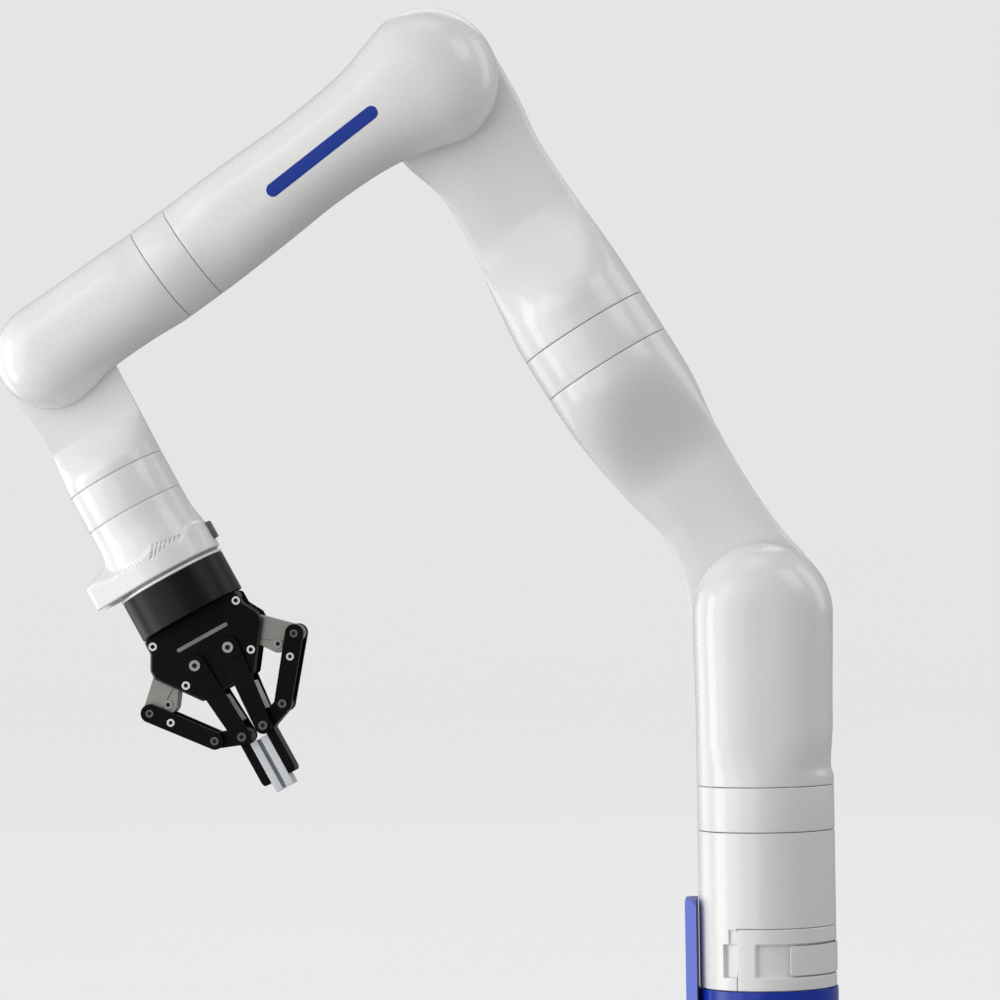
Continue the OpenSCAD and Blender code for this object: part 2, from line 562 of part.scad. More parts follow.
// Places a part drawn in the knuckle's own frame at a pivot of one side
module on_side(side, x, z) {
    arm_grip() mirror([side < 0 ? 1 : 0, 0, 0]) translate([x, 0, z]) rotate([0, rest_angle, 0]) children();
}
module knuckle(side) {
    on_side(side, outer_x, outer_z) difference() {
        union() {
            bar([0, 0], [elbow_x, elbow_z], 8.5, 5.6, -9.9, 9.9);
            bar([3, 5], knuckle_corner, 7.4, 6, -9.8, 9.8);
            bar([-1, 0.5], [-8, 1], 7.6, 9, -3.8, 3.8);
        }
        pin_at(0, 0, pivot_r + fit, -20, 20);
        pin_at(elbow_x, elbow_z, 1.52, -20, 20);
        pin_at(knuckle_corner[0], knuckle_corner[1], 1.52, -20, 20);
    }
}
module outer_finger(side) {
    on_side(side, outer_x, outer_z) difference() {
        for (y = [-1, 1]) bar([elbow_x, elbow_z], [0, knuckle_len], 6.2, 5.8,
            min(y * 10, y * 14.4), max(y * 10, y * 14.4));
        pin_at(0, knuckle_len, pivot_r + fit, -20, 20);
        for (p = finger_screws) pin_at(p[0], p[1], 1.52, -20, 20);
    }
}
// Screws of the outer finger plates, and the cross pin at the knuckle's inner corner
module knuckle_screws(side) {
    on_side(side, outer_x, outer_z) {
        for (p = finger_screws) {
            pin_at(p[0], p[1], 1.5, -14.8, 14.8);
            heads_at(p[0], p[1], 2.7, 14.4, 1.1);
        }
        pin_at(knuckle_corner[0], knuckle_corner[1], 1.5, -10.2, 10.2);
        heads_at(knuckle_corner[0], knuckle_corner[1], 3.1, 9.9, 0.9);
    }
}
// Pair of bars outside the covers, thinner between the pivot boss and the core
module inner_knuckle(side) {
    on_side(side, inner_x, inner_z) difference() {
        for (y = [-1, 1]) {
            bar([0, 0], [0, knuckle_len], 7.4, bar_w / 2, min(y * (cover_y + 0.3), y * bar_y),
                max(y * (cover_y + 0.3), y * bar_y));
        }
        pin_at(0, 0, pivot_r + fit, -20, 20);
        pin_at(0, knuckle_len, pivot_r + loose, -20, 20);
        for (y = [-1, 1]) translate([-10, y * (bar_y + 1.2) - 2, 8.4]) cube([20, 4, 25.4]);
    }
}
// Block that joins the two bars of an inner knuckle
module link_core(side) {
    on_side(side, inner_x, inner_z) difference() {
        translate([-5.2, -cover_y - 0.3, 27]) cube([10.4, 2 * cover_y + 0.6, 20.4]);
        translate([0, 0, 31]) rotate([0, 90, 0]) cylinder(r = 1.3, h = 20, center = true);
    }
}
module finger(side) {
    arm_grip() mirror([side < 0 ? 1 : 0, 0, 0]) difference() {
        union() {
            bar([tip_x, tip_pin_z], [lug_x, lug_z], 5.6, 5.4, -9.6, 9.6);
            translate([6.8, -11, 121]) cube([5.8, 22, 30]);
            translate([6.8, 0, 151]) intersection() {
                translate([0, -11, -3]) cube([5.8, 22, 6.6]);
                rotate([90, 0, 0]) cylinder(r = 5.8, h = 22, center = true);
            }
            bar([tip_x, tip_pin_z], [9.7, 124], 5.6, 2.9, -11, 11);
        }
        pin_at(tip_x, tip_pin_z, pivot_r + 0.02, -20, 20);
        pin_at(lug_x, lug_z, pivot_r + 0.02, -20, 20);
    }
}
module finger_pad(side) {
    arm_grip() mirror([side < 0 ? 1 : 0, 0, 0]) translate([1.4, -11, 124.6]) cube([5.2, 22, tip_z - 124.6]);
}
module finger_pins(side) {
    arm_grip() mirror([side < 0 ? 1 : 0, 0, 0]) {
        pin_at(tip_x, tip_pin_z, pivot_r, -bar_y - 0.4, bar_y + 0.4);
        heads_at(tip_x, tip_pin_z, 3.1, bar_y + 0.3, 1.1);
        pin_at(lug_x, lug_z, pivot_r, -14.8, 14.8);
        heads_at(lug_x, lug_z, 2.9, 14.7, 0.8);
    }
}
module left_knuckle() color([0.55, 0.55, 0.54]) knuckle(1);
module right_knuckle() color([0.55, 0.55, 0.54]) knuckle(-1);
module left_outer_finger() color(black) outer_finger(1);
module right_outer_finger() color(black) outer_finger(-1);
module left_inner_knuckle() color(black) inner_knuckle(1);
module right_inner_knuckle() color(black) inner_knuckle(-1);
module left_knuckle_screws() color(steel) knuckle_screws(1);
module right_knuckle_screws() color(steel) knuckle_screws(-1);
module left_link_core() color([0.6, 0.6, 0.6]) link_core(1);
module right_link_core() color([0.6, 0.6, 0.6]) link_core(-1);
module left_finger() color(black) finger(1);
module right_finger() color(black) finger(-1);
module left_finger_pad() color([0.85, 0.86, 0.88]) finger_pad(1);
module right_finger_pad() color([0.85, 0.86, 0.88]) finger_pad(-1);
module left_finger_pins() color(steel) finger_pins(1);
module right_finger_pins() color(steel) finger_pins(-1);

mount_socket();
cable_guard();
base_shell();
clamp_band();
clamp_lever();
lever_pin();
connector_panel();
power_button();
controller_board();
base_actuator();
shoulder_ring();
shoulder_shell();
shoulder_actuator();
upper_arm_lower_shell();
shoulder_flange();
upper_arm_actuator();
upper_arm_ring();
upper_arm_upper_shell();
elbow_flange();
forearm_shell();
elbow_actuator();
forearm_actuator();
wrist_1_ring();
wrist_1_shell();
wrist_1_actuator();
wrist_2_shell();
wrist_2_flange();
wrist_2_actuator();
wrist_3_ring();
interface_shell();
camera_housing();
camera_lenses();
interface_board();
tool_button();
tool_coupling();
gripper_body();
gripper_cover_front();
gripper_cover_rear();
gripper_screws();
gripper_motor();
drive_shaft();
gripper_pivots();
left_knuckle();
left_knuckle_screws();
left_outer_finger();
left_inner_knuckle();
left_link_core();
left_finger();
left_finger_pad();
left_finger_pins();
right_knuckle();
right_knuckle_screws();
right_outer_finger();
right_inner_knuckle();
right_link_core();
right_finger();
right_finger_pad();
right_finger_pins();
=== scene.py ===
import json
import math

import bmesh
import bpy
from mathutils import Matrix, Vector
from mathutils.bvhtree import BVHTree


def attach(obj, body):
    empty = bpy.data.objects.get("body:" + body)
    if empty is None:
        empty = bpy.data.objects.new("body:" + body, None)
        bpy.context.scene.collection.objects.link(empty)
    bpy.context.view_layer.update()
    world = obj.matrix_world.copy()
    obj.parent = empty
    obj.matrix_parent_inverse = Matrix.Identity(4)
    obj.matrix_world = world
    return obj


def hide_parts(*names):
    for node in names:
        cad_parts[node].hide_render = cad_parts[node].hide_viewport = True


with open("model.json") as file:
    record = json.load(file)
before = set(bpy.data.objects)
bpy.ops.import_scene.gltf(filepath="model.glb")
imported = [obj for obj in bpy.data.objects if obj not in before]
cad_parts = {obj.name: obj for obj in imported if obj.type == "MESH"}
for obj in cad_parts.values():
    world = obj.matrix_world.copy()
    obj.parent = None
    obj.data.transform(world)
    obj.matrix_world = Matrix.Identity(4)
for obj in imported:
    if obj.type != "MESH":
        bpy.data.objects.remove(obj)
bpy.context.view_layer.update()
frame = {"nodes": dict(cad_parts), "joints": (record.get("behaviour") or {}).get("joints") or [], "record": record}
scene = bpy.context.scene

MM = 0.001
joints = {j["name"]: j for j in frame["joints"]}

# ---------------------------------------------------------------- driving sizes, millimetres
ARM_R = 45.5            # radius of base, shoulder and arm casings at their rings
WRIST_R = 34.5          # radius of forearm and wrist casings at their rings
ARM_DOME = ARM_R + 1.0
ELBOW_DOME = ARM_R + 2.0
WRIST_DOME = WRIST_R + 1.7
ARM_BAND = 29.6         # width of a large ring cover
WRIST_BAND = 26.8       # width of a small ring cover
GAP = 0.4               # between parts that turn on each other
LIP = 0.7               # rounding of a casing's edge at a seam
AROUND = 112            # points round a casing section
BAND_WALL = 8           # thickness of a ring cover
BAND_STEP = 1.1         # depth at which a ring cover starts to pass its own edges
DRIVE_IN = 9.4          # step in radius between the forearm casing and its drive
DRIVE_LEN = 22          # length of that drive
DRIVE_EDGE = 0.8        # rounding of the drive's edges


def joint_pos(name):
    """Place of a joint, in millimetres."""
    return Vector(joints[name]["pos_m"]) / MM


def joint_axis(name):
    return Vector(joints[name]["axis"]).normalized()


shoulder_at = joint_pos("shoulder_pitch")
arm_mid = joint_pos("upper_arm_rotation")
elbow_at = joint_pos("elbow_pitch")
forearm_mid = joint_pos("forearm_rotation")
wrist_at = joint_pos("wrist_pitch")
tool_mid = joint_pos("tool_rotation")
arm_dir = joint_axis("upper_arm_rotation")
forearm_dir = joint_axis("forearm_rotation")
wrist_dir = joint_axis("tool_rotation")


def link_frame(origin, direction):
    """Matrix of a link: its length along local Z, local Y to the back, result in metres."""
    z = direction.normalized()
    y = Vector((0, 1, 0))
    x = y.cross(z).normalized()
    turn = Matrix((x, y, z)).transposed().to_4x4()
    return Matrix.Scale(MM, 4) @ Matrix.Translation(origin) @ turn


def in_plane(a, b):
    """Distance of two points seen from the front."""
    return math.hypot(a.x - b.x, a.z - b.z)


half_arm = in_plane(arm_mid, shoulder_at)
forearm_len = in_plane(forearm_mid, elbow_at)
wrist_len = in_plane(tool_mid, wrist_at)
ring_z = joint_pos("base_rotation").z
split_y = shoulder_at.y
wrist_split_y = -0.825

UP = link_frame(Vector((0, 0, 0)), Vector((0, 0, 1)))
SHOULDER = link_frame(Vector((0, 0, shoulder_at.z)), Vector((0, 0, -1)))
UPPER_LOW = link_frame(Vector((shoulder_at.x, arm_mid.y, shoulder_at.z)), arm_dir)
UPPER_HIGH = link_frame(Vector((elbow_at.x, arm_mid.y, elbow_at.z)), -arm_dir)
FOREARM = link_frame(elbow_at, forearm_dir)
WRIST_1 = link_frame(Vector((wrist_at.x, elbow_at.y, wrist_at.z)), -forearm_dir)
WRIST_2 = link_frame(wrist_at, wrist_dir)

shoulder_ring_t = shoulder_at.z - ring_z - ARM_BAND / 2
arm_ring_t = half_arm - ARM_BAND / 2
elbow_ring_t = forearm_len - WRIST_BAND / 2
wrist_ring_t = wrist_len - WRIST_BAND / 2


# ---------------------------------------------------------------- mesh helpers
def finish_mesh(name, mesh, material, body, node=None, sharp=32.0):
    """Turns a mesh into a piece that rides on a body and may replace a node. Edges above the sharp
    angle stay hard."""
    bm = bmesh.new()
    bm.from_mesh(mesh)
    bmesh.ops.remove_doubles(bm, verts=bm.verts, dist=1e-6)
    bmesh.ops.recalc_face_normals(bm, faces=bm.faces)
    for face in bm.faces:
        face.smooth = True
    limit = math.radians(sharp)
    for edge in bm.edges:
        if len(edge.link_faces) == 2 and edge.calc_face_angle() > limit:
            edge.smooth = False
    bm.to_mesh(mesh)
    bm.free()
    piece = bpy.data.objects.new(name, mesh)
    scene.collection.objects.link(piece)
    mesh.materials.clear()
    mesh.materials.append(material)
    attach(piece, body)
    if node:
        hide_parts(node)
    return piece


def loft(name, rings, place):
    """Closed mesh through equal rings of points, each end closed by a fan."""
    count = len(rings[0])
    points = [p for ring in rings for p in ring]
    faces = []
    for k in range(len(rings) - 1):
        for i in range(count):
            j = (i + 1) % count
            faces.append((k * count + i, k * count + j, (k + 1) * count + j, (k + 1) * count + i))
    for first, flip in ((0, True), ((len(rings) - 1) * count, False)):
        ring = points[first:first + count]
        hub = len(points)
        points.append(tuple(sum(p[a] for p in ring) / count for a in range(3)))
        for i in range(count):
            j = (i + 1) % count
            faces.append((first + j, first + i, hub) if flip else (first + i, first + j, hub))
    mesh = bpy.data.meshes.new(name)
    mesh.from_pydata([place @ Vector(p) for p in points], [], faces)
    mesh.validate()
    return mesh


def revolve(name, profile, place, steps=128):
    """Closed ring or disc from a profile of (radius, height) points."""
    closed = profile[0] == profile[-1]
    outline = profile[:-1] if closed else profile
    rings = []
    for k in range(steps):
        a = 2 * math.pi * k / steps
        rings.append([(r * math.cos(a), r * math.sin(a), h) for r, h in outline])
    count = len(outline)
    points = [p for ring in rings for p in ring]
    faces = []
    last = count if closed else count - 1
    for k in range(steps):
        n = (k + 1) % steps
        for i in range(last):
            j = (i + 1) % count
            faces.append((k * count + i, n * count + i, n * count + j, k * count + j))
    mesh = bpy.data.meshes.new(name)
    mesh.from_pydata([place @ Vector(p) for p in points], [], faces)
    mesh.validate()
    return mesh


def islands(mesh):
    """Sets of polygon indices that hang together."""
    parent = list(range(len(mesh.vertices)))

    def root(i):
        while parent[i] != i:
            parent[i] = parent[parent[i]]
            i = parent[i]
        return i

    for polygon in mesh.polygons:
        first = root(polygon.vertices[0])
        for vertex in polygon.vertices[1:]:
            parent[root(vertex)] = first
    found = {}
    for polygon in mesh.polygons:
        found.setdefault(root(polygon.vertices[0]), []).append(polygon.index)
    return list(found.values())


def packed_bmesh(node):
    """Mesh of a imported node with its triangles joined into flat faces."""
    bm = bmesh.new()
    bm.from_mesh(frame["nodes"][node].data)
    bmesh.ops.remove_doubles(bm, verts=bm.verts, dist=0.000004)
    bmesh.ops.dissolve_limit(bm, angle_limit=math.radians(0.5), verts=bm.verts, edges=bm.edges)
    return bm


def eased(node, material, width=0.4):
    """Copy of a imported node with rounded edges, none of it outside the node, which stands for it."""
    bm = packed_bmesh(node)
    skin = BVHTree.FromBMesh(bm)
    edges = [e for e in bm.edges if len(e.link_faces) == 2 and e.calc_face_angle() > math.radians(30)]
    bmesh.ops.bevel(bm, geom=edges, offset=width * MM, offset_type="OFFSET", segments=2, profile=0.5,
                    affect="EDGES", clamp_overlap=False)
    for vert in bm.verts:
        point, normal, _, distance = skin.find_nearest(vert.co)
        if distance > 0.02 * MM and (vert.co - point).dot(normal) > 0:
            vert.co = point
    mesh = bpy.data.meshes.new(node + "_eased")
    bm.to_mesh(mesh)
    bm.free()
    piece = finish_mesh(node + "_eased", mesh, material, body_of[node], node, 40.0)
    piece.modifiers.new("flat_faces", "WEIGHTED_NORMAL").keep_sharp = True
    return piece


def smooth(x):
    """Eases from 0 to 1 as x goes from 0 to 1."""
    c = min(1.0, max(0.0, x))
    return c * c * (3 - 2 * c)


def slope(stations, i):
    """Slope of the smooth curve at a station, level at both ends."""
    if i == 0 or i == len(stations) - 1:
        return 0.0
    return (stations[i + 1][1] - stations[i - 1][1]) / (stations[i + 1][0] - stations[i - 1][0])


def along(stations, t):
    """Smooth curve through (t, value) stations."""
    if t <= stations[0][0]:
        return stations[0][1]
    for i in range(len(stations) - 1):
        if t <= stations[i + 1][0]:
            h = stations[i + 1][0] - stations[i][0]
            u = (t - stations[i][0]) / h
            v = 1 - u
            return (stations[i][1] * v * v * (1 + 2 * u) + stations[i + 1][1] * u * u * (3 - 2 * u)
                    + h * u * v * (v * slope(stations, i) - u * slope(stations, i + 1)))
    return stations[-1][1]


def power(value, exponent):
    """Power of a value's size with the value's sign."""
    return math.copysign(abs(value) ** exponent, value)


def casing_point(shape, t, angle):
    """Point of a casing's skin at a distance t from its joint and an angle round its length."""
    c, s = math.cos(angle), math.sin(angle)
    end = shape["end"]
    dome = shape["dome"]
    arc = math.sqrt(max(0.0, 1 - (t / dome) ** 2)) if t < 0 else 1.0
    half = dome if t < 0 else along(shape["right" if c > 0 else "left"], t)
    half *= arc
    swell = smooth((t - shape["scoop_a"]) / (shape["scoop_b"] - shape["scoop_a"]))
    square = 2 + (shape["square"] - 2) * smooth((end - t) / shape["blend"])
    outer = s > 0 if shape["behind"] else s < 0
    edge = max(0.0, t - (end - LIP))
    lip = LIP - math.sqrt(max(0.0, LIP * LIP - edge * edge))
    if outer:
        x = half * power(c, 2 / square)
        if t < 0:
            r = min(1.0, math.hypot(x, t) / dome)
            depth = shape["depth"] * (1 - r ** square) ** (1 / square)
        else:
            full = shape["depth"] + (shape["ring_r"] - shape["depth"]) * smooth(t / end)
            depth = full * abs(s) ** (2 / square)
    else:
        wide = shape["face_wide"] + (2 - shape["face_wide"]) * swell
        x = half * power(c, 2 / wide)
        depth = (shape["face_d"] + (shape["ring_r"] - shape["face_d"]) * swell) * abs(s)
    near = smooth(1.4 - abs(math.degrees(angle) - 190) / 50) if "dent" in shape else 0.0
    if near:
        lip += shape["dent"] * near * smooth((t - end + 42) / 30) * smooth((end - 5 - t) / 7)
    scale = 1 - lip / shape["ring_r"]
    y = math.copysign(depth, s)
    return x * scale, y * scale, t


def casing_mesh(name, shape, place):
    """The skin of a casing, from the tip of its dome to its ring end."""
    end, dome = shape["end"], shape["dome"]
    dome_steps, body_steps, lip_steps = 26, 70, 5
    stops = [-dome * math.cos(math.radians(1.5 + 88.5 * k / dome_steps)) for k in range(dome_steps)]
    stops += [(end - LIP) * k / body_steps for k in range(body_steps + 1)]
    stops += [end - LIP + LIP * math.sin(math.pi / 2 * k / lip_steps) for k in range(1, lip_steps + 1)]
    rings = []
    for t in stops:
        rings.append([casing_point(shape, t, 2 * math.pi * (i + 0.5) / AROUND) for i in range(AROUND)])
    return loft(name, rings, place)


def casing(dome, ring_r, end, right, left, face_d, scoop, depth, square, behind,
           blend=34.0, face_wide=2.7):
    """Shape of a casing: a dome round its joint, sides given as (t, half width) stations, and a circle
    at the ring end. The face at depth face_d is flat up to scoop[0] and part of the circle from
    scoop[1]. square and face_wide tell how boxy the outer side and the face are, and behind says that
    the outer side looks to the back."""
    return dict(dome=dome, ring_r=ring_r, end=end, right=right, left=left, face_d=face_d,
                scoop_a=scoop[0], scoop_b=scoop[1], depth=depth, square=square, behind=behind,
                blend=blend, face_wide=face_wide)


# ---------------------------------------------------------------- materials
def new_material(name):
    material = bpy.data.materials.new(name)
    material.use_nodes = True
    nodes = material.node_tree.nodes
    return material, nodes, material.node_tree.links, nodes["Principled BSDF"]


def noise(nodes, links, scale, detail=3.0, rough=0.5):
    coords = nodes.new("ShaderNodeTexCoord")
    texture = nodes.new("ShaderNodeTexNoise")
    texture.inputs["Scale"].default_value = scale
    texture.inputs["Detail"].default_value = detail
    texture.inputs["Roughness"].default_value = rough
    links.new(coords.outputs["Object"], texture.inputs["Vector"])
    return texture


def ramp(nodes, links, source, low, high, start=0.3, stop=0.7):
    colors = nodes.new("ShaderNodeValToRGB")
    colors.color_ramp.elements[0].position = start
    colors.color_ramp.elements[0].color = (*low, 1)
    colors.color_ramp.elements[1].position = stop
    colors.color_ramp.elements[1].color = (*high, 1)
    links.new(source, colors.inputs["Fac"])
    return colors


def grey(value):
    return (value, value, value)


def surface(name, low, high, rough=(0.3, 0.4), metallic=0.0, grain=700.0, bump=0.02, patch=30.0,
            coat=0.0, coat_rough=0.1, specular=0.5):
    """Finish with soft colour variation, uneven gloss and a fine grain in the surface."""
    material, nodes, links, shader = new_material(name)
    shader.inputs["Metallic"].default_value = metallic
    shader.inputs["Coat Weight"].default_value = coat
    shader.inputs["Coat Roughness"].default_value = coat_rough
    shader.inputs["Specular IOR Level"].default_value = specular
    broad = noise(nodes, links, patch)
    tint = ramp(nodes, links, broad.outputs["Fac"], low, high)
    links.new(tint.outputs["Color"], shader.inputs["Base Color"])
    fine = noise(nodes, links, grain, 2.0)
    gloss = ramp(nodes, links, fine.outputs["Fac"], grey(rough[0]), grey(rough[1]))
    links.new(gloss.outputs["Color"], shader.inputs["Roughness"])
    relief = nodes.new("ShaderNodeBump")
    relief.inputs["Strength"].default_value = bump
    relief.inputs["Distance"].default_value = 0.0004
    links.new(fine.outputs["Fac"], relief.inputs["Height"])
    links.new(relief.outputs["Normal"], shader.inputs["Normal"])
    return material


materials = {
    "white_shell": surface("white_lacquer", (0.80, 0.80, 0.785), (0.84, 0.84, 0.825), (0.24, 0.31),
                           grain=900, bump=0.01, patch=9, coat=0.3, coat_rough=0.08),
    "blue_paint": surface("blue_lacquer", (0.004, 0.030, 0.36), (0.006, 0.036, 0.40), (0.2, 0.27),
                          grain=900, bump=0.04, patch=12, specular=0.35),
    "steel": surface("machined_steel", grey(0.55), grey(0.68), (0.2, 0.34), 1.0, grain=1500, bump=0.05),
    "black_plastic": surface("black_plastic", grey(0.018), grey(0.028), (0.42, 0.5), grain=1200, bump=0.15),
    "circuit_board": surface("solder_mask", (0.01, 0.09, 0.03), (0.015, 0.13, 0.04), (0.3, 0.4)),
    "drive_metal": surface("drive_metal", grey(0.5), grey(0.6), (0.3, 0.42), 1.0, grain=1300, bump=0.05),
    "lens_glass": surface("lens_glass", grey(0.01), grey(0.02), (0.03, 0.06), coat=1.0, coat_rough=0.03),
    "grey_plastic": surface("grey_plastic", grey(0.10), grey(0.14), (0.4, 0.5), grain=1200, bump=0.1),
    "grey_metal": surface("grey_metal", (0.27, 0.27, 0.255), (0.33, 0.33, 0.31), (0.38, 0.5), 0.6,
                          grain=1600, bump=0.12),
    "black_metal": surface("black_anodised", grey(0.0015), grey(0.003), (0.32, 0.42), 0.0, grain=1800,
                           bump=0.12, patch=40, specular=0.08),
    "blue_print": surface("blue_print", (0.0015, 0.030, 0.30), (0.002, 0.036, 0.33), (0.35, 0.42),
                          grain=1200, bump=0.02, patch=30, specular=0.3),
    "pale_print": surface("pale_print", grey(0.22), grey(0.27), (0.4, 0.5), grain=1500, bump=0.03,
                          patch=60, specular=0.2),
    "pad_silver": surface("blasted_pad", (0.62, 0.64, 0.68), (0.72, 0.74, 0.78), (0.35, 0.45), 0.5,
                          grain=1600, bump=0.1),
}

# lighter copy of the blue paint for the cable guard: a painted highlight, the key light's reflection made part of
# its colour
GUARD_HIGHLIGHT_BLUE = surface("blue_guard_painted_highlight", (0.115, 0.165, 0.60), (0.125, 0.18, 0.64), (0.3, 0.38), grain=900,
                     bump=0.04, patch=12, specular=0.3)
# mid grey for the interface sleeve, which shows as a darker band in the slot under the rim
SLEEVE_GREY = surface("sleeve_grey", grey(0.22), grey(0.27), (0.4, 0.5), grain=1200, bump=0.08)

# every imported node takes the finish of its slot
slot_of = {s["node"]: s["material_slot"] for s in frame["record"]["subparts"]}
body_of = {n: body for body, nodes in frame["record"]["behaviour"]["bodies"].items() for n in nodes}
for node_name, node_object in frame["nodes"].items():
    node_object.data.materials.clear()
    node_object.data.materials.append(materials[slot_of[node_name]])


# ---------------------------------------------------------------- casings
WHITE = materials["white_shell"]
shoulder_shape = casing(
    ARM_DOME, ARM_R, shoulder_ring_t,
    [(0, ARM_DOME), (60, ARM_R), (shoulder_ring_t, ARM_R)],
    [(0, ARM_DOME), (60, ARM_R), (shoulder_ring_t, ARM_R)],
    split_y - GAP / 2, (shoulder_ring_t - 33, shoulder_ring_t - 3), ARM_R, 2.6, False)
shoulder_shape["dent"] = 1.8           # shallow dip low on one side, above the ring
upper_low_shape = casing(
    ARM_DOME, ARM_R, arm_ring_t,
    [(0, ARM_DOME), (20, 44.2), (45, 40), (85, 38.6), (125, 40.3), (160, 44.8), (arm_ring_t, ARM_R)],
    [(0, ARM_DOME), (18, 44), (45, 34.5), (78, 29.6), (110, 36.5), (160, 44), (arm_ring_t, ARM_R)],
    arm_mid.y - split_y - GAP / 2, (107, 187), ARM_R, 2.7, True)
upper_high_shape = casing(
    ARM_DOME, ARM_R, arm_ring_t,
    [(0, ARM_DOME), (38, 43.6), (70, 34.6), (105, 35), (150, 41.5), (arm_ring_t, ARM_R)],
    [(0, ARM_DOME), (40, 45), (70, 41.2), (110, 41.8), (155, 44.6), (arm_ring_t, ARM_R)],
    arm_mid.y - split_y - GAP / 2, (112, 181), ARM_R, 2.7, True)
forearm_shape = casing(
    ELBOW_DOME, WRIST_R, elbow_ring_t,
    [(0, ELBOW_DOME), (18, 43.8), (45, 37.2), (95, 33.9), (140, 34.6), (elbow_ring_t, WRIST_R)],
    [(0, ELBOW_DOME), (15, 43.2), (50, 33.5), (95, 31), (140, 33), (elbow_ring_t, WRIST_R)],
    split_y - elbow_at.y - GAP / 2, (134, 188), ARM_R, 2.5, False)
wrist_1_shape = casing(
    WRIST_DOME, WRIST_R, wrist_ring_t,
    [(0, WRIST_DOME), (30, WRIST_R - 2.4), (62, WRIST_R - 2), (wrist_ring_t, WRIST_R)],
    [(0, WRIST_DOME), (22, WRIST_DOME - 0.6), (wrist_ring_t, WRIST_R)],
    wrist_split_y - elbow_at.y - GAP / 2, (60, 90), WRIST_R, 2.4, False, blend=26)
wrist_2_shape = casing(
    WRIST_DOME, WRIST_R, wrist_ring_t,
    [(0, WRIST_DOME), (14, WRIST_DOME - 1), (52, 31), (wrist_ring_t, WRIST_R)],
    [(0, WRIST_DOME), (40, WRIST_R + 0.6), (wrist_ring_t, WRIST_R)],
    wrist_at.y - wrist_split_y - GAP / 2, (58, 88), WRIST_R, 2.4, True, blend=26)

for name, shape, place, body in (
        ("shoulder_shell", shoulder_shape, SHOULDER, "shoulder"),
        ("upper_arm_lower_shell", upper_low_shape, UPPER_LOW, "upper_arm_lower"),
        ("upper_arm_upper_shell", upper_high_shape, UPPER_HIGH, "upper_arm_upper"),
        ("forearm_shell", forearm_shape, FOREARM, "forearm"),
        ("wrist_1_shell", wrist_1_shape, WRIST_1, "wrist_1"),
        ("wrist_2_shell", wrist_2_shape, WRIST_2, "wrist_2")):
    finish_mesh(name + "_skin", casing_mesh(name, shape, place), WHITE, body, name)


def band_profile(radius, low, high, spill, lip=LIP):
    """Closed section of a ring cover with rounded edges. Its hidden inside passes the edges by spill."""
    arc = [(math.sin(a), math.cos(a)) for a in (math.pi / 2 * k / 5 for k in range(6))]
    bottom = [(radius - lip + lip * s, low + lip - lip * c) for s, c in arc]
    top = [(radius - lip + lip * c, high - lip + lip * s) for s, c in arc]
    inner, step = radius - BAND_WALL, radius - BAND_STEP
    return [(inner, low - spill), (step, low - spill), (step, low), *bottom, *top, (step, high),
            (step, high + spill), (inner, high + spill), (inner, low - spill)]


for name, place, radius, low, high, spill, body in (
        ("shoulder_ring", UP, ARM_R, ring_z - ARM_BAND / 2, ring_z + ARM_BAND / 2 - GAP, 0.05,
         "shoulder"),
        ("upper_arm_ring", UPPER_LOW, ARM_R, arm_ring_t + GAP, arm_ring_t + ARM_BAND - GAP,
         0.05, "upper_arm_upper"),
        ("wrist_1_ring", FOREARM, WRIST_R, elbow_ring_t + GAP, elbow_ring_t + WRIST_BAND - GAP,
         0.05, "wrist_1"),
        ("wrist_3_ring", WRIST_2, WRIST_R, wrist_ring_t + GAP, wrist_ring_t + WRIST_BAND - GAP,
         0.3, "tool")):
    finish_mesh(name + "_cover", revolve(name, band_profile(radius, low, high, spill), place), WHITE, body,
                name)


# the forearm drive, short enough to stay inside the flat back of its casing
drive_r, drive_high = WRIST_R - DRIVE_IN, elbow_ring_t - 1
drive_low = drive_high - DRIVE_LEN
drive_slot = slot_of["forearm_actuator"]
finish_mesh("forearm_drive", revolve("forearm_drive", [
    (7, drive_low), (drive_r - DRIVE_EDGE, drive_low), (drive_r, drive_low + DRIVE_EDGE),
    (drive_r, drive_high - DRIVE_EDGE), (drive_r - DRIVE_EDGE, drive_high), (14, drive_high),
    (14, drive_high + 0.6), (7, drive_high + 0.6), (7, drive_low)], FOREARM), materials[drive_slot],
    "forearm", "forearm_actuator", 40.0)


def outer_depth(shape, x, t):
    """Distance from a casing's axis plane to its outer skin, at x across and t along it."""
    square = 2 + (shape["square"] - 2) * smooth((shape["end"] - t) / shape["blend"])
    half = along(shape["right" if x > 0 else "left"], t)
    full = shape["depth"] + (shape["ring_r"] - shape["depth"]) * smooth(t / shape["end"])
    return full * (1 - min(1.0, abs(x) / half) ** square) ** (1 / square)


def stripe():
    """Plain printed stripe along the front of the forearm."""
    start, stop, half = 37.5, 129.5, 4.6
    rows, across = 92, 12
    rings = []
    for j in range(rows + 1):
        t = start + (stop - start) * spread(j / rows)
        inside = min(t - start, stop - t)
        width = half if inside > half else math.sqrt(max(0.04, half ** 2 - (half - inside) ** 2))
        middle = -1.1 - 2.3 * (t - start) / (stop - start)
        xs = [middle + width * (2 * i / across - 1) for i in range(across + 1)]
        front = [(x, -outer_depth(forearm_shape, x, t) - 0.1, t) for x in xs]
        back = [(x, -outer_depth(forearm_shape, x, t) + 0.4, t) for x in xs]
        rings.append(front + back[::-1])
    return loft("stripe", rings, FOREARM)


def spread(u):
    """Packs points near both ends of a span."""
    return u - 0.13 * math.sin(2 * math.pi * u)


finish_mesh("forearm_stripe", stripe(), materials["blue_print"], "forearm", None, 60.0)


